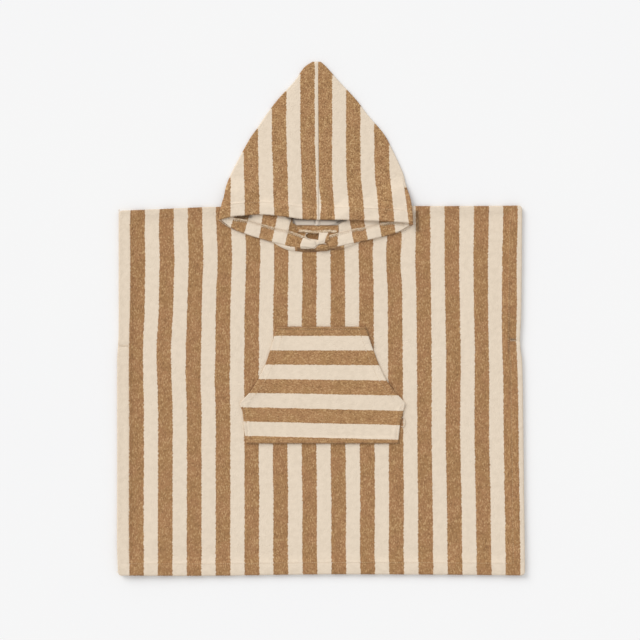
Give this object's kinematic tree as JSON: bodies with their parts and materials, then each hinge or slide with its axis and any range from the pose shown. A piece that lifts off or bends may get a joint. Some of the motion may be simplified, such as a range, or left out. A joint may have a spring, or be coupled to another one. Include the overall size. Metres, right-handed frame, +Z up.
{
  "type": "hooded bath poncho",
  "caption": "Child's hooded bath poncho in striped terry cloth, laid flat on its back, with a front hand pocket and a pointed hood drawn down over its face opening.",
  "frame": {"origin": "on the surface it lies on, under the middle of its outline", "axes": "+X to the right as it lies, +Y from the bottom hem to the hood's peak, +Z up from the surface"},
  "size_m": [0.6002, 0.757, 0.0125],
  "materials": {
    "striped_terry": "looped terry with even cream and heathered tan stripes, matt",
    "neck_twill": "plain pale cotton tape, matt"
  },
  "bodies": {
    "root": {"back_panel": "striped_terry", "front_panel": "striped_terry", "hood_left": "striped_terry", "hood_right": "striped_terry", "pocket": "striped_terry", "neck_tape": "neck_twill"}
  },
  "joints": []
}
